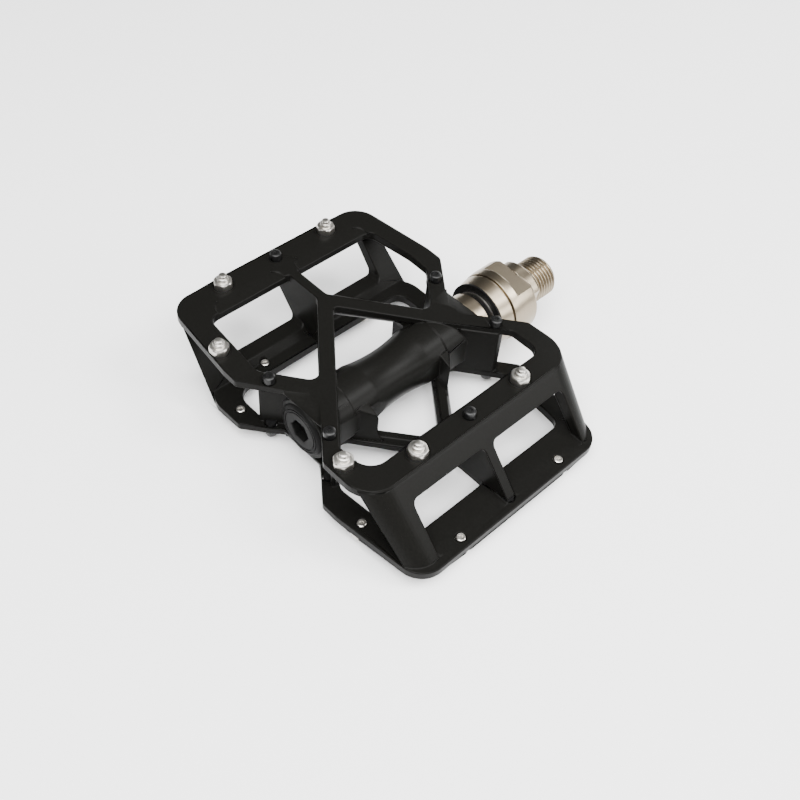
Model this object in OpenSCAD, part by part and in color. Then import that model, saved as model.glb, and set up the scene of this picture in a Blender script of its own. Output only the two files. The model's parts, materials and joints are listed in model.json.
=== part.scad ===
// Flat pedal: a cast open-frame platform turning on a nickel-plated steel spindle.
// Frame: origin on the spindle axis at the shoulder that meets the crank arm,
// +X along the spindle out of the shoulder through the thread, +Z up.

/* [Platform] */
// Distance from the crank shoulder to the middle of the platform
platform_reach = 61.6; // [61.6:0.1:62.4]
// Half the platform's width along the spindle
half_w = 42.1; // [41.6:0.1:43]
// Distance of the long edge of each deck from the spindle axis
long_edge = 57; // [56:0.5:60]
// Distance of the short edge of each deck from the spindle axis
short_edge = 37.8; // [37.4:0.1:39]
// Height of each deck's tread face above the spindle axis
half_h = 11.3; // [11.2:0.1:11.8]
// Thickness of the deck plates
deck_t = 3; // [2.6:0.1:3.2]
// Width of the bar on the short side of each deck
short_bar_w = 7.6; // [7:0.1:8]
// Width of the bar on the long side of each deck
long_bar_w = 12.5; // [12:0.1:13]
// Fall of the tread face from its creases to the spindle axis
tread_dip = 1.2; // [0.8:0.1:1.3]
// Thickness of the slanted end walls, measured along Y
wall_t = 5.5; // [4.5:0.1:6]

/* [Arms and barrel] */
// Width of the long crossing arms
arm_w = 4.9; // [4.4:0.1:5.4]
// Width of the short side arms
side_arm_w = 5.4; // [5:0.1:5.8]
// Width of the stems and of the plates under them
stem_w = 3.4; // [3:0.1:4]
// Radius of the barrel at its waist
waist_r = 8.3; // [8.1:0.1:8.8]
// Radius of the barrel beside its waist
barrel_r = 9.5; // [9.3:0.1:9.6]
// Radius of the barrel's end collars
collar_r = 9.9; // [9.7:0.1:10]

/* [Traction pins] */
// Width of a pin's hexagon across its flats
pin_hex_w = 5.6; // [5:0.1:6]
// Height of a pin's hexagon
pin_hex_h = 2.2; // [1.8:0.1:2.8]
// Height of a pin above the tread face
pin_h = 4.4; // [4:0.1:5]
// Radius of the neck between a pin's hexagon and its tip
pin_neck_r = 1.85; // [1.7:0.05:2]
// Radius of a pin's tip
pin_tip_r = 1.25; // [1:0.05:1.5]
// Radius of a pin's shank
pin_shank_r = 1.6; // [1.4:0.05:1.8]
// Radius of a stud
stud_r = 1.85; // [1.6:0.05:2]
// Height of a stud above the tread face
stud_h = 2.4; // [2:0.1:3]

/* [Spindle] */
// Radius of the crank thread over its crests, 9/16 inch
thread_r = 7.144; // [7.12:0.002:7.16]
// Length of the crank thread
thread_len = 11.2; // [10:0.1:13]
// Radius of the shoulder that carries the wrench flats
shoulder_r = 10; // [9.6:0.1:10.2]
// Width across the wrench flats
flats_w = 15; // [14.8:0.1:16]
// Greatest radius of the spindle's domed collar
dome_r = 12.4; // [12.2:0.1:12.6]
// Width across the two flats on the domed collar
dome_flats_w = 19.4; // [19:0.1:20]
// Radius of the journal in the bushing
journal_r = 6; // [5.8:0.1:6]
// Running clearance of the journal in the bushing
running = 0.04; // [0.02:0.01:0.08]

/* [Bearings] */
// Number of balls in each bearing
ball_count = 7; // [6:1:9]
// Radius of a ball
ball_r = 1.1; // [1:0.05:1.15]

/* [Hidden] */
$fn = 96;

body_x = -platform_reach;
slack = 0.02;                // radial gap between parts that are assembled fast
waist_y = 8.3;               // half width of the barrel's flat end faces
flat_y = 8.8;                // half width of the barrel over its flat sides
end_x = 33.3;                // end faces, from the platform's middle
haunch_x = 14.9;             // where the haunches under the long arms end
corner_y = 19.4;             // outer corners where the side arms start
crease_y = 26.6;             // where the tread face starts to fall
stem_x = 0.2;                // middle of the stems
stem_out = stem_x - stem_w / 2;
stem_in = stem_x + stem_w / 2;

// Every arm edge lies on a line: x * lean[0] + y * lean[1] = offset leans one
// way, x * lean[0] - y * lean[1] = offset leans the other way
lean = [0.7735, 0.6338];
arm_edge = 20.5;             // offset of the arms' outer edges
arm_in = arm_edge - arm_w;
side_in = arm_edge - side_arm_w;
block_out = arm_edge - 2.8;  // offset of the end blocks' outer faces

plate_z = half_h - deck_t;
rib_z = plate_z - 2;         // underside of the ribs under the long arms
sill_z = 6;                  // far side of the windows
window_out = -29.8;
window_in = 32.6;

// Details of a pin
pin_neck_h = 1;              // height of the neck above the hexagon
pin_chamfer = 0.35;          // chamfer at the tip
pin_flare = 2.3;             // overreach of the cone that rounds the hexagon's corners

// Stations along the spindle
dome_end = -4.2;
dome_flats_start = -11.5;
dome_start = -14.8;
groove_start = dome_start - 0.4;  // groove between the dust collar and the domed collar
collar_start = -20.1;
seal_start = -20.8;
washer_start = -21.35;
lip_end = -21.5;
sleeve_end = -23.2;
lip_start = -25.4;
in_face = body_x + end_x;
bush_start = in_face - 7.4;
mid_bearing = -79.5;
tip_bearing = -84.5;
bearing_w = 5;
race_shoulder = mid_bearing + bearing_w;
nut_start = -88.7;
tip_end = -89.3;
cap_end = -90.2;
out_face = body_x - end_x;
cap_face = out_face - 1;

// Radii of the dust collar at its back, its front edge and its groove
cover_back_r = 11.1;
cover_front_r = 11.9;
cover_groove_r = 11.2;

// Radii of the bearings and seats
seat_r = 4;
bearing_r = 8;
pitch_r = 6.05;
race_in_r = pitch_r - 0.9;
race_out_r = pitch_r + 0.9;
core_r = 6.6;
sleeve_r = 8.4;
sleeve_rim_r = 9.3;
cap_rim_r = 8.9;
lip_r = 8;
bush_r = 7;
hub_r = 8;
rod_thread_r = 3;

// Pin and stud centres on the upper deck, from the platform's middle
pin_row_long = long_edge - 3.4;
pin_row_short = 3.9 - short_edge;
pin_spots = [
    [-20.4, pin_row_long], [21.8, pin_row_long],
    [-20.4, pin_row_short], [21.8, pin_row_short],
    [3.85 - half_w, 31.8], [3.85 - half_w, -23.4]
];
stud_spots = [
    [stem_x, long_edge - 3.9], [stem_x, 3.8 - short_edge],
    [-34.5, 13.3], [-34.5, -13.3], [33.6, 13.3], [33.6, -13.3]
];

function unit(v) = v / norm(v);

// Points of the arc that rounds the corner b between a and c
function corner_arc(a, b, c, r) =
    r <= 0 ? [b] :
    let (u = unit(a - b), w = unit(c - b), half = acos(u * w) / 2)
    let (centre = b + unit(u + w) * r / sin(half))
    let (p = b + u * r / tan(half) - centre, q = b + w * r / tan(half) - centre)
    let (from = atan2(p[1], p[0]), turn = atan2(q[1], q[0]) - from)
    let (sweep = turn > 180 ? turn - 360 : turn < -180 ? turn + 360 : turn)
    let (steps = max(2, ceil(abs(sweep) / (r > 5 ? 6 : 15))))
    [for (i = [0 : steps]) centre + r * [cos(from + sweep * i / steps), sin(from + sweep * i / steps)]];

// Outline points from a list of corners, each [x, y, radius]
function rounded(corners) =
    let (n = len(corners), at = [for (c = corners) [c[0], c[1]]])
    [for (i = [0 : n - 1]) each corner_arc(at[(i + n - 1) % n], at[i], at[(i + 1) % n], corners[i][2])];

// Arm edges met at a given x: rising with x, or falling with x
function rise_y(offset, x) = (x * lean[0] - offset) / lean[1];
function fall_y(offset, x) = (offset - x * lean[0]) / lean[1];
function fall_x(offset, y) = (offset - y * lean[1]) / lean[0];

// Crossing of a falling edge with a rising edge, with its corner radius
function crossing(fall, rise, r) = [(fall + rise) / 2 / lean[0], (fall - rise) / 2 / lean[1], r];

function tread_z(y) = half_h - tread_dip * max(0, 1 - abs(y) / crease_y);

module along_x(x) {
    translate([x, 0, 0])
        rotate([0, 90, 0])
            children();
}

module disc(x0, x1, r) {
    along_x(x0)
        cylinder(h = x1 - x0, r = r);
}

module ring(x0, x1, r_out, r_in) {
    difference() {
        disc(x0, x1, r_out);
        disc(x0 - 1, x1 + 1, r_in);
    }
}

module cone(x0, x1, r0, r1) {
    along_x(x0)
        cylinder(h = x1 - x0, r1 = r0, r2 = r1);
}

// A shape drawn as [y, z] points and drawn out along X
module along_x_profile(x0, x1, points) {
    translate([x0, 0, 0])
        rotate([90, 0, 90])
            linear_extrude(x1 - x0)
                polygon(points);
}

module half_turn() {
    children();
    rotate([180, 0, 0])
        children();
}

// ------------------------------------------------------------ pedal body

deck_outline = rounded([
    [3.4 - half_w, long_edge, 8.2],
    [half_w - 3.4, long_edge, 8.2],
    [half_w, 25, 15],
    [half_w, corner_y, 2],
    [end_x, waist_y, 0],
    [end_x, -waist_y, 0],
    [half_w, -corner_y, 2],
    [half_w + 0.2, -short_edge, 9.5],
    [-half_w - 0.2, -short_edge, 9.5],
    [-half_w, -corner_y, 2],
    [-end_x, -waist_y, 0],
    [-end_x, waist_y, 0],
    [-half_w, corner_y, 2],
    [-half_w, 25, 15]
]);

outboard_opening = rounded([
    [-32.6, long_edge - long_bar_w, 3.5],
    [stem_out, long_edge - long_bar_w, 0.9],
    [stem_out, rise_y(-arm_edge, stem_out), 3],
    crossing(-side_in, -arm_edge, 3),
    [-34.8, fall_y(-side_in, -34.8), 4]
]);

inboard_opening = rounded([
    [33, long_edge - long_bar_w, 3.5],
    [stem_in, long_edge - long_bar_w, 0.9],
    [stem_in, fall_y(arm_edge, stem_in), 3],
    crossing(arm_edge, side_in, 3),
    [34.9, rise_y(side_in, 34.9), 3],
    [35.2, 27, 20]
]);

barrel_opening = rounded([
    crossing(arm_in, -arm_in, 1.5),
    [-35.1, rise_y(-arm_in, -35.1), 2],
    [-35.1, short_bar_w - short_edge, 6],
    [35.4, short_bar_w - short_edge, 4],
    [35.4, fall_y(arm_in, 35.4), 3]
]);

// Window in the end wall, from the sill to the deck plate
function window_shape(from_x, to_x) = rounded([
    [from_x, sill_z, 1.8],
    [to_x, sill_z, 1.8],
    [to_x, -plate_z, 0.6],
    [from_x, -plate_z, 0.6]
]);

long_wall_windows = [
    window_shape(window_out, stem_out),
    window_shape(stem_in, window_in)
];

// Upper deck plate with its three openings
module deck_plate() {
    translate([0, 0, plate_z])
        linear_extrude(deck_t)
            difference() {
                polygon(deck_outline);
                polygon(outboard_opening);
                polygon(inboard_opening);
                polygon(barrel_opening);
            }
}

// Slanted wall under the short edge of the upper deck
module end_wall() {
    top_y = -short_edge;
    low_y = -long_edge;
    difference() {
        intersection() {
            hull() {
                translate([0, 0, half_h - 0.1])
                    linear_extrude(0.1)
                        polygon(deck_outline);
                rotate([180, 0, 0])
                    translate([0, 0, half_h - 0.1])
                        linear_extrude(0.1)
                            polygon(deck_outline);
            }
            along_x_profile(-half_w - 1, half_w + 1, [
                [top_y - 0.6, half_h - 0.6],
                [top_y + wall_t, half_h - 0.6],
                [low_y + wall_t, 0.6 - half_h],
                [low_y - 0.6, 0.6 - half_h]
            ]);
        }
        for (window = long_wall_windows)
            rotate([90, 0, 0])
                linear_extrude(long_edge + 5)
                    polygon(window);
    }
}

// Upright plate between a stem and the short bar of the other deck
module stem_plate() {
    along_x_profile(stem_out, stem_in, [
        [25, plate_z + 0.6],
        [30.4, -plate_z - 0.6],
        [short_edge - 1.5, -plate_z - 0.6],
        [long_edge - 6.5, plate_z + 0.6]
    ]);
}

// Upright block between the decks at one end of the barrel
module end_block(side, reach) {
    linear_extrude(2 * plate_z + 1, center = true)
        polygon(rounded([
            [side * (block_out + 7 * lean[1]) / lean[0], 7, 0],
            [side * (block_out + reach * lean[1]) / lean[0], reach, 0.8],
            [side * (side_in + reach * lean[1]) / lean[0], reach, 0.8],
            [side * (side_in + 6.8 * lean[1]) / lean[0], 6.8, 0],
            [side * (side_in + 6.8 * lean[1]) / lean[0], -6.8, 0],
            [side * (side_in + reach * lean[1]) / lean[0], -reach, 0.8],
            [side * (block_out + reach * lean[1]) / lean[0], -reach, 0.8],
            [side * (block_out + 7 * lean[1]) / lean[0], -7, 0]
        ]));
}

// Plan of a strip along a long arm, between two offsets and two values of Y
function arm_strip(side, inner, outer, y0, y1) = [
    [side * fall_x(outer, y0), y0],
    [side * fall_x(outer, y1), y1],
    [side * fall_x(inner, y1), y1],
    [side * fall_x(inner, y0), y0]
];

// Haunch that carries a long arm of the upper deck on the side of the barrel
module haunch(side) {
    foot = 4.4;
    low_z = -5.2;
    intersection() {
        translate([0, 0, low_z])
            linear_extrude(plate_z + 0.5 - low_z)
                polygon(arm_strip(side, arm_in + 0.3, arm_edge - 0.7, 3, 18));
        translate([0, 24, 0])
            rotate([90, 0, 0])
                linear_extrude(24)
                    polygon([
                        [side * 27, low_z],
                        [side * haunch_x, low_z],
                        for (a = [0 : 15 : 90])
                            [side * (haunch_x - foot + foot * cos(a)), plate_z - foot + foot * sin(a)],
                        [side * (haunch_x - foot), plate_z + 0.5],
                        [side * 27, plate_z + 0.5]
                    ]);
        along_x_profile(-28, 28, [
            [0, low_z],
            [flat_y - 0.5, low_z],
            [12.4, -3.6],
            [16, 2],
            [19, plate_z],
            [19, plate_z + 0.6],
            [0, plate_z + 0.6]
        ]);
    }
}

// Drafted rib under a long arm, from the barrel to the crossing of the arms
module arm_rib(side) {
    hull() {
        translate([0, 0, plate_z])
            linear_extrude(0.2)
                polygon(arm_strip(side, arm_in, arm_edge, 4, 26));
        translate([0, 0, rib_z])
            linear_extrude(0.2)
                polygon(arm_strip(side, arm_in + 1.3, arm_edge - 1.3, 4, 26));
    }
}

// Barrel with a waist between two collars
module barrel() {
    waist_half = 11.6;
    bow = (waist_half * waist_half + pow(barrel_r - waist_r, 2)) / (2 * (barrel_r - waist_r));
    difference() {
        union() {
            disc(-end_x, end_x, barrel_r);
            disc(-end_x, -20.3, collar_r);
            disc(18, end_x, collar_r);
        }
        rotate([0, 90, 0])
            rotate_extrude()
                translate([waist_r + bow, 0])
                    circle(r = bow, $fn = 180);
        for (side = [-1, 1])
            translate([-40, side * (flat_y + 5) - 5, -15])
                cube([80, 10, 30]);
    }
}

// What is cut out of the upper tread face
module tread_cuts() {
    // Tread face falling to the middle
    along_x_profile(-half_w - 1, half_w + 1, [
        [-crease_y, half_h],
        [0, half_h - tread_dip],
        [crease_y, half_h],
        [crease_y, half_h + 3],
        [-crease_y, half_h + 3]
    ]);
    // Triangular notches over the ends of the barrel, deeper towards the ends
    for (side = [-1, 1])
        intersection() {
            linear_extrude(half_h + 3)
                polygon([
                    [side * (end_x + 1), waist_y + 0.6],
                    [side * 26.5, 0],
                    [side * (end_x + 1), -waist_y - 0.6]
                ]);
            translate([0, 20, 0])
                rotate([90, 0, 0])
                    linear_extrude(40)
                        polygon([
                            [side * (end_x + 1), half_h - 2.05],
                            [side * 26, half_h - 0.65],
                            [side * 26, half_h + 3],
                            [side * (end_x + 1), half_h + 3]
                        ]);
        }
    // Bevelled pockets along the inner edge of the long bar
    for (span = [[-28.8, stem_out - 1.2], [stem_in + 1.2, 32]])
        intersection() {
            linear_extrude(half_h + 3)
                polygon(rounded([
                    [span[0], long_edge - long_bar_w - 4, 0],
                    [span[1], long_edge - long_bar_w - 4, 0],
                    [span[1], long_edge - long_bar_w + 4.5, 3.4],
                    [span[0], long_edge - long_bar_w + 4.5, 3.4]
                ]));
            along_x_profile(span[0] - 1, span[1] + 1, [
                [long_edge - long_bar_w - 5, half_h - 0.75],
                [long_edge - long_bar_w + 0.2, half_h - 0.65],
                [long_edge - long_bar_w + 4.4, half_h],
                [long_edge - long_bar_w + 5, half_h + 3],
                [long_edge - long_bar_w - 5, half_h + 3]
            ]);
        }
    // Holes for the pins and studs
    for (spot = pin_spots) {
        translate([spot[0], spot[1], plate_z - 1.2])
            cylinder(h = 6, r = pin_shank_r + slack);
        translate([spot[0], spot[1], tread_z(spot[1]) - 0.02])
            cylinder(h = 2, r = pin_hex_w / 2 / cos(30) + 0.2);
    }
    for (spot = stud_spots)
        translate([spot[0], spot[1], plate_z - 0.6])
            cylinder(h = 6, r = stud_r + slack);
}

// Bore through the barrel with its seats
module barrel_bore() {
    disc(-body_x - 100, -body_x, core_r);
    disc(out_face - body_x - 1, race_shoulder - body_x, bearing_r);
    disc(bush_start - body_x, in_face - body_x + 1, sleeve_r);
    disc(end_x, end_x + 6, sleeve_rim_r + slack);
    disc(-end_x - 6, -end_x, cap_rim_r + slack);
}

module pedal_body() {
    color([0.06, 0.06, 0.06])
        translate([body_x, 0, 0])
            difference() {
                union() {
                    half_turn() {
                        deck_plate();
                        end_wall();
                        stem_plate();
                        for (side = [-1, 1]) {
                            haunch(side);
                            arm_rib(side);
                        }
                    }
                    end_block(-1, 17.2);
                    end_block(1, 16);
                    barrel();
                }
                half_turn()
                    tread_cuts();
                barrel_bore();
            }
}

// ------------------------------------------------------- platform fittings

module end_cap() {
    color([0.08, 0.08, 0.08])
        difference() {
            union() {
                disc(out_face - slack, cap_end, bearing_r - slack);
                disc(out_face - 0.3, out_face - slack, cap_rim_r);
                cone(cap_face, out_face - 0.3, cap_rim_r - 0.9, cap_rim_r);
            }
            along_x(cap_face - 1)
                cylinder(h = 4.6, r = 3.8, $fn = 6);
            ring(cap_end - 2, cap_end - 0.9, bearing_r + 1, 6.9);
        }
}

module end_cap_ring() {
    color([0.02, 0.02, 0.02])
        along_x(cap_end - 1.45)
            rotate_extrude()
                translate([7.43, 0])
                    circle(r = 0.5, $fn = 32);
}

module spacer_tube() {
    color([0.5, 0.5, 0.5])
        ring(cap_end + 0.03, tip_bearing - 0.03, bearing_r - slack, 7.05);
}

module race_out(x0) {
    difference() {
        ring(x0 + slack, x0 + bearing_w - slack, bearing_r - slack, race_out_r);
        along_x(x0 + bearing_w / 2)
            rotate_extrude()
                translate([pitch_r, 0])
                    circle(r = ball_r + 0.03, $fn = 48);
    }
}

module race_out_tip() {
    color([0.7, 0.7, 0.72])
        race_out(tip_bearing);
}

module race_out_mid() {
    color([0.7, 0.7, 0.72])
        race_out(mid_bearing);
}

module shields(x0) {
    ring(x0 + 0.2, x0 + 0.5, race_out_r - slack, race_in_r + 0.12);
    ring(x0 + bearing_w - 0.5, x0 + bearing_w - 0.2, race_out_r - slack, race_in_r + 0.12);
}

module shields_tip() {
    color([0.1, 0.1, 0.1])
        shields(tip_bearing);
}

module shields_mid() {
    color([0.1, 0.1, 0.1])
        shields(mid_bearing);
}

module bearing_sleeve() {
    color([0.72, 0.7, 0.66])
        difference() {
            union() {
                disc(bush_start + slack, in_face + slack, sleeve_r - slack);
                disc(in_face + slack, sleeve_end - 0.4, sleeve_rim_r);
                cone(sleeve_end - 0.4, sleeve_end, sleeve_rim_r, sleeve_rim_r - 0.4);
            }
            disc(bush_start - 1, sleeve_end + 1, bush_r);
            disc(lip_start - 0.05, sleeve_end + 1, lip_r);
        }
}

module bushing() {
    color([0.6, 0.5, 0.3])
        ring(bush_start + 0.3, lip_start - 0.1, bush_r - slack, journal_r + running);
}

module lip_seal() {
    color([0.02, 0.02, 0.02])
        difference() {
            union() {
                disc(lip_start, lip_end - 0.5, lip_r - slack);
                cone(lip_end - 0.5, lip_end, lip_r - slack, lip_r - 0.6);
            }
            disc(lip_start - 1, lip_end + 1, journal_r + 0.06);
        }
}

module pin() {
    translate([0, 0, -deck_t - 0.5])
        cylinder(h = deck_t + 1, r = pin_shank_r);
    intersection() {
        rotate([0, 0, 30])
            cylinder(h = pin_hex_h, r = pin_hex_w / 2 / cos(30), $fn = 6);
        cylinder(h = pin_hex_h, r1 = pin_hex_w / 2 + pin_flare, r2 = pin_hex_w / 2 - 0.3);
    }
    cylinder(h = pin_hex_h + pin_neck_h, r = pin_neck_r);
    cylinder(h = pin_h - pin_chamfer, r = pin_tip_r);
    translate([0, 0, pin_h - pin_chamfer])
        cylinder(h = pin_chamfer, r1 = pin_tip_r, r2 = pin_tip_r - pin_chamfer);
}

module deck_pins() {
    for (spot = pin_spots)
        translate([body_x + spot[0], spot[1], tread_z(spot[1])])
            pin();
}

module pins_top() {
    color([0.75, 0.74, 0.7])
        deck_pins();
}

module pins_bottom() {
    color([0.75, 0.74, 0.7])
        rotate([180, 0, 0])
            deck_pins();
}

module stud() {
    difference() {
        union() {
            translate([0, 0, 0.2 - deck_t])
                cylinder(h = deck_t - 0.2 + stud_h - 0.3, r = stud_r);
            translate([0, 0, stud_h - 0.3])
                cylinder(h = 0.3, r1 = stud_r, r2 = stud_r - 0.3);
        }
        translate([0, 0, stud_h - 1.4])
            cylinder(h = 2, r = 1.15, $fn = 6);
    }
}

module deck_studs() {
    for (spot = stud_spots)
        translate([body_x + spot[0], spot[1], tread_z(spot[1])])
            stud();
}

module studs_top() {
    color([0.04, 0.04, 0.04])
        deck_studs();
}

module studs_bottom() {
    color([0.04, 0.04, 0.04])
        rotate([180, 0, 0])
            deck_studs();
}

// ---------------------------------------------------------------- spindle

// Domed collar with two flats beside the shoulder
module domed_collar() {
    intersection() {
        union() {
            cone(dome_start, -12, dome_r - 0.3, dome_r);
            disc(-12, -5.4, dome_r);
            cone(-5.4, dome_end, dome_r, dome_r - 0.6);
        }
        union() {
            disc(dome_start - 1, dome_flats_start, dome_r + 1);
            rotate([93, 0, 0])
                translate([dome_flats_start - 1, -dome_flats_w / 2, -20])
                    cube([20, dome_flats_w, 40]);
        }
    }
}

module wrench_flats() {
    intersection() {
        union() {
            disc(dome_end - 0.5, -0.6, shoulder_r);
            cone(-0.6, 0, shoulder_r, shoulder_r - 0.6);
        }
        rotate([10, 0, 0])
            translate([-10, -flats_w / 2, -20])
                cube([20, flats_w, 40]);
    }
}

module spindle() {
    color([0.72, 0.68, 0.62])
        union() {
            disc(0, thread_len - 0.9, thread_r);
            cone(thread_len - 0.9, thread_len, thread_r, thread_r - 0.8);
            wrench_flats();
            domed_collar();
            disc(seal_start, dome_start, hub_r);
            disc(bush_start - 3, seal_start, journal_r);
            cone(race_shoulder + 2, bush_start - 3, 4.9, journal_r - 0.3);
            disc(race_shoulder, race_shoulder + 2, 4.9);
            disc(tip_bearing, race_shoulder, seat_r - slack);
            disc(tip_end, tip_bearing, rod_thread_r);
        }
}

module dust_collar() {
    color([0.72, 0.68, 0.62])
        difference() {
            union() {
                cone(collar_start, groove_start - 0.3, cover_back_r, cover_front_r);
                cone(groove_start - 0.3, groove_start, cover_front_r, cover_front_r - 0.3);
                disc(groove_start, dome_start - slack, cover_groove_r);
            }
            disc(collar_start - 1, dome_start + 1, hub_r + slack);
        }
}

module collar_seal() {
    color([0.02, 0.02, 0.02])
        ring(seal_start + 0.05, collar_start - 0.03, 11.2, hub_r + slack);
}

module thrust_washer() {
    color([0.75, 0.73, 0.7])
        ring(washer_start, seal_start - slack, 8.7, journal_r + slack);
}

module race_in(x0) {
    difference() {
        ring(x0 + slack, x0 + bearing_w - slack, race_in_r, seat_r);
        along_x(x0 + bearing_w / 2)
            rotate_extrude()
                translate([pitch_r, 0])
                    circle(r = ball_r + 0.03, $fn = 48);
    }
}

module race_in_tip() {
    color([0.7, 0.7, 0.72])
        race_in(tip_bearing);
}

module race_in_mid() {
    color([0.7, 0.7, 0.72])
        race_in(mid_bearing);
}

module spindle_washer() {
    color([0.7, 0.7, 0.72])
        ring(tip_bearing - 0.85, tip_bearing - 0.05, 5.1, rod_thread_r + slack);
}

module spindle_nut() {
    color([0.7, 0.7, 0.72])
        difference() {
            along_x(nut_start)
                cylinder(h = tip_bearing - 0.9 - nut_start, r = 5.6, $fn = 6);
            disc(nut_start - 1, tip_bearing + 1, rod_thread_r + slack);
        }
}

module balls(x0) {
    for (i = [0 : ball_count - 1])
        rotate([i * 360 / ball_count, 0, 0])
            translate([x0 + bearing_w / 2, 0, pitch_r])
                sphere(r = ball_r, $fn = 32);
}

module cage(x0) {
    difference() {
        ring(x0 + 1.1, x0 + bearing_w - 1.1, pitch_r + 0.3, pitch_r - 0.3);
        for (i = [0 : ball_count - 1])
            rotate([i * 360 / ball_count, 0, 0])
                translate([x0 + bearing_w / 2, 0, pitch_r - 1])
                    cylinder(h = 2, r = ball_r + 0.08, $fn = 32);
    }
}

module balls_tip() {
    color([0.8, 0.8, 0.8])
        balls(tip_bearing);
}

module balls_mid() {
    color([0.8, 0.8, 0.8])
        balls(mid_bearing);
}

module cage_tip() {
    color([0.6, 0.5, 0.3])
        cage(tip_bearing);
}

module cage_mid() {
    color([0.6, 0.5, 0.3])
        cage(mid_bearing);
}

spindle();
dust_collar();
collar_seal();
thrust_washer();
spindle_washer();
spindle_nut();
race_in_tip();
race_in_mid();
pedal_body();
end_cap();
end_cap_ring();
spacer_tube();
race_out_tip();
race_out_mid();
shields_tip();
shields_mid();
bearing_sleeve();
bushing();
lip_seal();
pins_top();
pins_bottom();
studs_top();
studs_bottom();
balls_tip();
cage_tip();
balls_mid();
cage_mid();
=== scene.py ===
import json
import math
import random
import bmesh
import bpy
from mathutils import Matrix, Vector


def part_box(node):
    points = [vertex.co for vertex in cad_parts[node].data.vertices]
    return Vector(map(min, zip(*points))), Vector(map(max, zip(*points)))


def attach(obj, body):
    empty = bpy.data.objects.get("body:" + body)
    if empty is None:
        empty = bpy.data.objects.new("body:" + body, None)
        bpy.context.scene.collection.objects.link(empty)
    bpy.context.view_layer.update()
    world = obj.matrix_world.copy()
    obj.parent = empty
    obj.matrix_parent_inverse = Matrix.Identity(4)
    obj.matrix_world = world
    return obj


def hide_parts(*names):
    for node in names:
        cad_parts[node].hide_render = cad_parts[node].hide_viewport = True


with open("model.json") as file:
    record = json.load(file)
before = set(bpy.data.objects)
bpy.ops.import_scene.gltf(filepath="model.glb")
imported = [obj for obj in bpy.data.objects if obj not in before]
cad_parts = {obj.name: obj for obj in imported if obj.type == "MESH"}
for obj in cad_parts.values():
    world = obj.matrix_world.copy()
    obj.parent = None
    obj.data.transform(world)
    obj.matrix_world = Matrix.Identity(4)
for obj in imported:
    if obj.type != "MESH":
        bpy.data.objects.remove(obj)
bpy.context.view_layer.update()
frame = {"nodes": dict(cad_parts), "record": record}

NODES = frame["nodes"]
MM = 0.001


# ---------------------------------------------------------------- materials

def new_material(name):
    """A new material with its nodes, links and main shader."""
    mat = bpy.data.materials.new(name)
    mat.use_nodes = True
    nodes = mat.node_tree.nodes
    return mat, nodes, mat.node_tree.links, nodes["Principled BSDF"]


def noise(nodes, links, scale, stretch):
    """A noise in the object's own coordinates, finer along an axis that stretch multiplies."""
    tex = nodes.new("ShaderNodeTexNoise")
    tex.inputs["Scale"].default_value = scale
    tex.inputs["Detail"].default_value = 4.0
    coord = nodes.new("ShaderNodeTexCoord")
    mapping = nodes.new("ShaderNodeMapping")
    if stretch:
        mapping.inputs["Scale"].default_value = stretch
    links.new(coord.outputs["Object"], mapping.inputs["Vector"])
    links.new(mapping.outputs["Vector"], tex.inputs["Vector"])
    return tex


RAMP_ENDS = (0.3, 0.7)  # noise levels that get the low and the high value


def ramp(nodes, links, source, low, high):
    """Turns a noise into a range of colours or greys, from low to high."""
    r = nodes.new("ShaderNodeValToRGB")
    for element, at, value in zip(r.color_ramp.elements, RAMP_ENDS, (low, high)):
        element.position = at
        element.color = (*value, 1) if isinstance(value, tuple) else (value, value, value, 1)
    links.new(source, r.inputs["Fac"])
    return r


def bump(nodes, links, bsdf, source, distance):
    """Shades the surface as if the source raised it by up to distance, in metres."""
    b = nodes.new("ShaderNodeBump")
    b.inputs["Distance"].default_value = distance
    b.inputs["Strength"].default_value = 1.0
    links.new(source, b.inputs["Height"])
    links.new(b.outputs["Normal"], bsdf.inputs["Normal"])


MATS = {}


def surface(name, dark, light, rough, metallic, scale, relief, stretch=None, specular=0.5, ior=1.5):
    """Adds the finish of a material slot to MATS. Its colour, roughness and relief follow one noise."""
    mat, nodes, links, bsdf = new_material(name)
    tex = noise(nodes, links, scale, stretch)
    colour = ramp(nodes, links, tex.outputs["Fac"], dark, light)
    links.new(colour.outputs["Color"], bsdf.inputs["Base Color"])
    roughness = ramp(nodes, links, tex.outputs["Fac"], *rough)
    links.new(roughness.outputs["Color"], bsdf.inputs["Roughness"])
    bump(nodes, links, bsdf, tex.outputs["Fac"], relief)
    bsdf.inputs["Metallic"].default_value = metallic
    bsdf.inputs["Specular IOR Level"].default_value = specular
    bsdf.inputs["IOR"].default_value = ior
    MATS[name] = mat


# One finish for each material slot of the record
surface(
    "black_alloy", (0.0046, 0.0045, 0.0040), (0.0056, 0.0055, 0.0049),
    rough=(0.30, 0.34), metallic=0.0, scale=1500, relief=0.000002, ior=1.13)
surface(
    "black_plastic", (0.004, 0.004, 0.0038), (0.005, 0.005, 0.0048),
    rough=(0.42, 0.48), metallic=0.0, scale=1200, relief=0.000002, specular=0.4, ior=1.14)
surface(
    "black_steel", (0.003, 0.003, 0.003), (0.006, 0.006, 0.006),
    rough=(0.3, 0.4), metallic=0.0, scale=900, relief=0.00001, ior=1.35)
surface(
    "nickel", (0.27, 0.225, 0.165), (0.29, 0.245, 0.18),
    rough=(0.29, 0.31), metallic=1.0, scale=300, relief=0.00000005, stretch=(12, 1, 1))
surface(
    "bright_steel", (0.52, 0.50, 0.46), (0.60, 0.58, 0.54),
    rough=(0.30, 0.36), metallic=1.0, scale=500, relief=0.000001)
surface(
    "bearing_steel", (0.6, 0.6, 0.62), (0.7, 0.7, 0.72),
    rough=(0.2, 0.3), metallic=1.0, scale=500, relief=0.00001)
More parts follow.
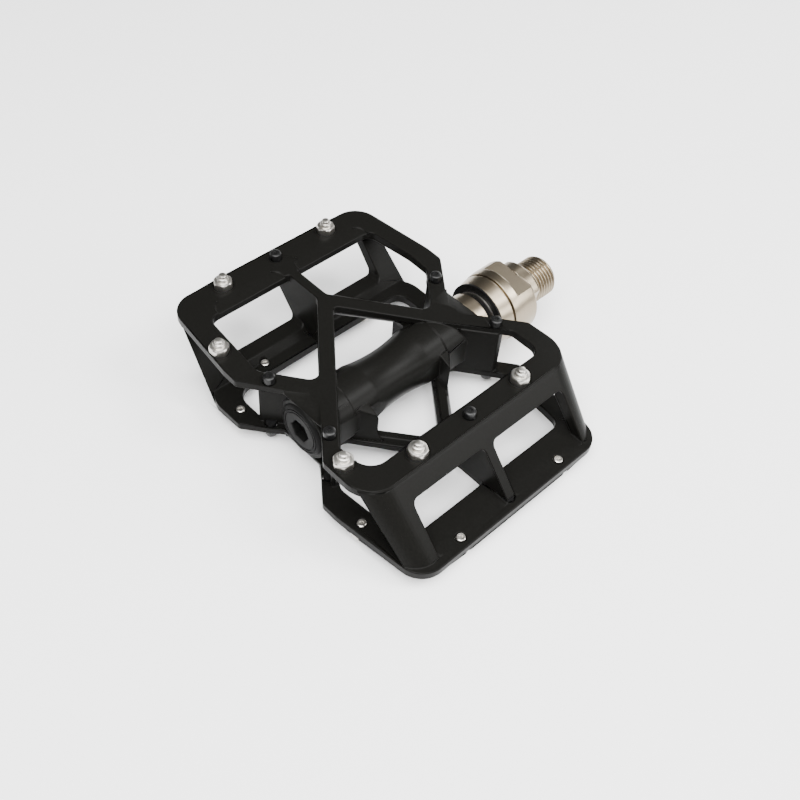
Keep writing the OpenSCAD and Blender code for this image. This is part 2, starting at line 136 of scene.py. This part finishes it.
surface(
    "plain_alloy", (0.5, 0.5, 0.51), (0.6, 0.6, 0.61),
    rough=(0.3, 0.4), metallic=1.0, scale=500, relief=0.00001)
surface(
    "bronze", (0.45, 0.33, 0.18), (0.55, 0.42, 0.24),
    rough=(0.4, 0.5), metallic=1.0, scale=600, relief=0.00001)
surface(
    "seal_rubber", (0.003, 0.003, 0.003), (0.005, 0.005, 0.005),
    rough=(0.45, 0.55), metallic=0.0, scale=800, relief=0.000004, specular=0.4, ior=1.2)

SLOT_OF = {part["node"]: part["material_slot"] for part in frame["record"]["subparts"]}


def paint(obj, mat):
    obj.data.materials.clear()
    obj.data.materials.append(mat)


for name, obj in NODES.items():
    paint(obj, MATS[SLOT_OF[name]])


# ---------------------------------------------------------- finished pieces

WELD = 0.002 * MM  # corners closer than this are one corner
SPINDLE = "spindle_unit"
PLATFORM = "platform"


def show(obj, body, node):
    """obj stands for the CAD node on that body, in the node's own finish."""
    paint(obj, MATS[SLOT_OF[node]])
    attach(obj, body)
    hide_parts(node)


def add_object(name, mesh):
    obj = bpy.data.objects.new(name, mesh)
    bpy.context.collection.objects.link(obj)
    return obj


SHARP = math.radians(32)        # edges sharper than this are rounded
COPLANAR = math.radians(1)      # triangles flatter than this are one face
SQUARE = math.radians(50)       # how far from a rectangle a joined pair may be


def rounded_copy(node, name, width, keep=None, skip=None):
    """A copy of a CAD node's shape with welded corners, rounded edges and smooth curved faces.
    Only corners that keep() accepts stay, and edges between two corners that skip() accepts stay sharp."""
    mesh = NODES[node].data.copy()
    bm = bmesh.new()
    bm.from_mesh(mesh)
    bmesh.ops.remove_doubles(bm, verts=bm.verts, dist=WELD)
    if keep:
        drop = [v for v in bm.verts if not keep(v.co)]
        bmesh.ops.delete(bm, geom=drop, context="VERTS")
    bmesh.ops.join_triangles(
        bm, faces=bm.faces, angle_face_threshold=COPLANAR, angle_shape_threshold=SQUARE)
    weight = bm.edges.layers.float.new("bevel_weight_edge")
    for edge in bm.edges:
        stays_sharp = skip and skip(edge.verts[0].co) and skip(edge.verts[1].co)
        if edge.calc_face_angle(0) >= SHARP and not stays_sharp:
            edge[weight] = 1
    for face in bm.faces:
        face.smooth = True
    bm.to_mesh(mesh)
    bm.free()
    mesh.materials.clear()
    mesh.set_sharp_from_angle(angle=SHARP)
    obj = add_object(name, mesh)
    bevel = obj.modifiers.new("rounding", "BEVEL")
    bevel.width = width
    bevel.segments = 2
    bevel.limit_method = "WEIGHT"
    bevel.use_clamp_overlap = False
    bevel.loop_slide = False
    bevel.miter_outer = "MITER_ARC"
    normals = obj.modifiers.new("even_normals", "WEIGHTED_NORMAL")
    normals.weight = 80
    normals.keep_sharp = True
    return obj


BODY_LOW, BODY_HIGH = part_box("pedal_body")
PLATFORM_MIDDLE = (BODY_LOW[0] + BODY_HIGH[0]) / 2
NOTCH_FROM_MIDDLE = 26 * MM
NOTCH_HALF_WIDTH = 9.5 * MM
NOTCH_LEAST_HEIGHT = 9.0 * MM


def at_notch(co):
    """The small steps at the barrel's ends, whose edges stay sharp."""
    beyond = abs(co.x - PLATFORM_MIDDLE) > NOTCH_FROM_MIDDLE
    return beyond and abs(co.y) < NOTCH_HALF_WIDTH and abs(co.z) > NOTCH_LEAST_HEIGHT


def beside_thread(co):
    """The spindle up to its shoulder at x = 0, because the thread beyond is a piece of its own."""
    return co.x < 0.1 * MM


def islands(node):
    """Lowest and highest corner of each separate piece of a CAD node."""
    bm = bmesh.new()
    bm.from_mesh(NODES[node].data)
    bmesh.ops.remove_doubles(bm, verts=bm.verts, dist=WELD)
    seen = set()
    boxes = []
    for start in bm.verts:
        if start in seen:
            continue
        seen.add(start)
        stack = [start]
        low = start.co.copy()
        high = start.co.copy()
        while stack:
            vert = stack.pop()
            for i in range(3):
                low[i] = min(low[i], vert.co[i])
                high[i] = max(high[i], vert.co[i])
            for edge in vert.link_edges:
                other = edge.other_vert(vert)
                if other not in seen:
                    seen.add(other)
                    stack.append(other)
        boxes.append((low, high))
    bm.free()
    return boxes


def add_ring(bm, place, segments, point):
    """A ring of corners, each at place @ point(angle)."""
    angles = [2 * math.pi * i / segments for i in range(segments)]
    return [bm.verts.new(place @ point(a)) for a in angles]


def join_rings(bm, rings):
    """Closes the band between each ring and the next."""
    for low, high in zip(rings, rings[1:]):
        for i in range(len(low)):
            j = (i + 1) % len(low)
            bm.faces.new((low[i], low[j], high[j], high[i]))


def turned_point(level, turn, a):
    """A point of a turned level (height, radius, half width of a hexagon or None), in millimetres."""
    height, radius, half = level
    if half:
        away = (a + math.pi / 6) % (math.pi / 3) - math.pi / 6
        radius = min(radius, half / math.cos(away))
    return Vector((radius * math.cos(a + turn), radius * math.sin(a + turn), height))


def add_turned(bm, levels, place, segments=48, turn=0.0):
    """Adds a turned shape to bm, closed at its first and last level."""
    rings = [
        add_ring(bm, place, segments, lambda a, level=level: turned_point(level, turn, a))
        for level in levels
    ]
    join_rings(bm, rings)
    bm.faces.new(rings[0][::-1])
    bm.faces.new(rings[-1])


def finish_mesh(bm, name, angle=30):
    """An object from bm, smooth but for edges sharper than the angle in degrees."""
    for face in bm.faces:
        face.smooth = True
    bmesh.ops.recalc_face_normals(bm, faces=bm.faces)
    mesh = bpy.data.meshes.new(name)
    bm.to_mesh(mesh)
    bm.free()
    mesh.set_sharp_from_angle(angle=math.radians(angle))
    return add_object(name, mesh)


# Outlines in millimetres, from the inner end to the tip: height, radius, half width of a hexagon or None
PIN = [
    (-3.1, 0.55, None), (-3.42, 0.7, None), (-3.45, 1.15, None), (-3.3, 1.36, None), (-1.2, 1.4, None),
    (-1.1, 2.9, 2.7), (-0.02, 3.05, 2.78), (0.15, 3.12, 2.8), (1.45, 3.12, 2.8), (1.85, 2.95, 2.8),
    (2.1, 2.7, 2.8), (2.2, 2.3, None), (2.22, 1.85, None), (3.1, 1.82, None), (3.28, 1.7, None),
    (3.38, 1.45, None), (3.42, 1.27, None), (4.05, 1.24, None), (4.25, 1.1, None), (4.36, 0.8, None),
    (4.4, 0.4, None),
]
STUD = [
    (-3.0, 1.6, None), (-0.05, 1.6, None), (0.0, 1.85, None), (1.9, 1.85, None), (2.15, 1.76, None),
    (2.32, 1.5, None), (2.4, 1.1, None), (2.4, 0.75, None), (2.1, 0.6, None),
]

# The cap's outline from its socket to its back: height over its face, radius, half width of the socket
CAP = [
    (-4.4, 3.2, 2.9), (-4.2, 3.8, 3.29), (-0.35, 3.8, 3.29), (-0.1, 4.05, 3.5), (0, 4.4, None),
    (0, 6.2, None), (-0.28, 6.32, None), (-0.28, 6.62, None), (0, 6.74, None), (0, 7.1, None),
    (-0.28, 7.22, None), (-0.28, 7.52, None), (-0.03, 7.64, None), (-0.08, 7.9, None), (-0.3, 8.25, None),
    (-0.75, 8.7, None), (-1.1, 8.85, None), (-2.6, 8.88, None), (-2.7, 8.0, None),
]


def turned_set(node, name, levels, up, seed):
    """Every pin or stud of a CAD node, turned and with its own stop angle, standing where the node's are."""
    rng = random.Random(seed)
    height = max(level[0] for level in levels)
    bm = bmesh.new()
    for low, high in islands(node):
        tip = high.z if up > 0 else low.z
        spot = Vector(((low.x + high.x) / 2, (low.y + high.y) / 2, tip - up * height * MM))
        place = Matrix.Translation(spot) @ Matrix.Diagonal((MM, up * MM, up * MM, 1))
        add_turned(bm, levels, place, turn=rng.uniform(0, math.pi / 3))
    return finish_mesh(bm, name)


def turned_cap():
    """The screwed cap at the barrel's outer end, with two turned grooves round its hexagon socket."""
    bm = bmesh.new()
    face = Vector((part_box("end_cap")[0][0], 0, 0))
    place = Matrix.Translation(face) @ Matrix.Rotation(-math.pi / 2, 4, "Y") @ Matrix.Scale(MM, 4)
    add_turned(bm, CAP, place, segments=96)
    return finish_mesh(bm, "turned_cap", 25)


THREAD_CREST = 7.144 * MM             # radius over the ridges
THREAD_PITCH = 1.27 * MM
THREAD_DEPTH = 0.78 * MM
THREAD_FLANK = 1.25                   # over 1, so that the ridges have flat tops
THREAD_START = 0.6 * MM               # the ridge begins here and grows
THREAD_RUN_IN = 0.7 * MM              # to its full height over this length
THREAD_CHAMFER = 1.1 * MM             # length of the chamfer at the tip
THREAD_CHAMFER_DEPTH = 1.1 * THREAD_DEPTH
THREAD_RIM = 1.02 * THREAD_CREST      # outer radius of the flat against the shoulder
THREAD_FACE = 0.45 * THREAD_CREST     # the flat middle of the end face
THREAD_SEGMENTS = 96
THREAD_STEPS = 150


def thread_radius(x, a, length):
    """The thread's surface at a distance along the spindle and an angle round it, as a helix."""
    phase = (x / THREAD_PITCH - a / (2 * math.pi)) % 1.0
    ridge = min(1.0, THREAD_FLANK * (1 - abs(2 * phase - 1)))
    grown = min(1.0, max(0.0, (x - THREAD_START) / THREAD_RUN_IN))
    chamfer = THREAD_CHAMFER_DEPTH * max(0.0, 1 - (length - x) / THREAD_CHAMFER)
    return min(THREAD_CREST - THREAD_DEPTH + THREAD_DEPTH * ridge * grown, THREAD_CREST - chamfer)


def crank_thread():
    """The threaded end, from a flat rim on the shoulder to its end face."""
    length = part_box("spindle")[1][0]
    bm = bmesh.new()

    def ring_at(x, radius_at):
        def point(a):
            return Vector((x, radius_at(a) * math.cos(a), radius_at(a) * math.sin(a)))
        return add_ring(bm, Matrix.Identity(4), THREAD_SEGMENTS, point)

    rings = [ring_at(0, lambda a: THREAD_RIM)]
    for k in range(THREAD_STEPS + 1):
        x = length * k / THREAD_STEPS
        rings.append(ring_at(x, lambda a: thread_radius(x, a, length)))
    rings.append(ring_at(length, lambda a: THREAD_FACE))
    join_rings(bm, rings)
    bm.faces.new(rings[-1])
    return finish_mesh(bm, "crank_thread", 40)


show(rounded_copy("pedal_body", "body_casting", 0.3 * MM, skip=at_notch), PLATFORM, "pedal_body")
for side, up in (("top", 1), ("bottom", -1)):
    for kind, levels, seed in (("pins_", PIN, 11), ("studs_", STUD, 21)):
        fasteners = turned_set(kind + side, "turned_" + kind + side, levels, up, seed + up)
        show(fasteners, PLATFORM, kind + side)
show(turned_cap(), PLATFORM, "end_cap")
show(rounded_copy("bearing_sleeve", "rounded_sleeve", 0.15 * MM), PLATFORM, "bearing_sleeve")
show(rounded_copy("dust_collar", "rounded_dust_collar", 0.15 * MM), SPINDLE, "dust_collar")
show(rounded_copy("spindle", "rounded_spindle", 0.2 * MM, keep=beside_thread), SPINDLE, "spindle")
show(crank_thread(), SPINDLE, "spindle")


# ------------------------------------------------------------------- stage

FLOOR_HALF = 3.0


def make_floor():
    """A plain pale floor just under the lower pins."""
    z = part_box("pins_bottom")[0][2] - 0.05 * MM
    corners = [(-1, -1), (1, -1), (1, 1), (-1, 1)]
    mesh = bpy.data.meshes.new("floor")
    mesh.from_pydata([(FLOOR_HALF * x, FLOOR_HALF * y, z) for x, y in corners], [], [(0, 1, 2, 3)])
    floor = add_object("floor", mesh)
    mat, nodes, links, bsdf = new_material("floor_white")
    bsdf.inputs["Base Color"].default_value = (0.97, 0.97, 0.97, 1)
    bsdf.inputs["Roughness"].default_value = 0.9
    bsdf.inputs["Specular IOR Level"].default_value = 0.1
    paint(floor, mat)


make_floor()


def area_light(name, position, target, size, power):
    """A white rectangular light at position, facing target."""
    light = bpy.data.lights.new(name, "AREA")
    light.shape = "RECTANGLE"
    light.size = size[0]
    light.size_y = size[1]
    light.energy = power
    obj = bpy.data.objects.new(name, light)
    obj.location = position
    obj.rotation_euler = (Vector(target) - Vector(position)).to_track_quat("-Z", "Y").to_euler()
    bpy.context.collection.objects.link(obj)


MIDDLE = Vector((-0.06, 0, 0))
area_light("overhead", (-0.30, -0.25, 0.95), MIDDLE, (1.1, 1.1), 40)
area_light("front", (-0.60, -0.30, 0.75), MIDDLE, (0.5, 0.5), 5)
area_light("low", (0.42, -0.80, 0.36), MIDDLE, (0.7, 0.3), 7)
area_light("side", (0.42, -0.50, 0.72), MIDDLE, (0.35, 0.35), 8)
area_light("rim", (0.75, 0.25, 0.35), MIDDLE, (0.25, 0.6), 3)

world = bpy.data.worlds.new("studio")
world.use_nodes = True
world.node_tree.nodes["Background"].inputs["Color"].default_value = (1, 1, 1, 1)
world.node_tree.nodes["Background"].inputs["Strength"].default_value = 0.10
bpy.context.scene.world = world


# ------------------------------------------------------------------ camera

def make_camera(position, target, roll, focal):
    """The photograph's camera, as fitted to the part: metres, degrees and millimetres."""
    data = bpy.data.cameras.new("camera")
    data.sensor_width = 36
    data.lens = focal
    data.clip_start = 0.01
    cam = bpy.data.objects.new("camera", data)
    look = (Vector(target) - Vector(position)).to_track_quat("-Z", "Y").to_matrix().to_4x4()
    turn = Matrix.Rotation(math.radians(roll), 4, "Z")
    cam.matrix_world = Matrix.Translation(position) @ look @ turn
    bpy.context.collection.objects.link(cam)
    bpy.context.scene.camera = cam


make_camera((-0.2137, -0.1449, 0.2295), (-0.0652, -0.0103, 0.0), roll=5.64, focal=45.45)
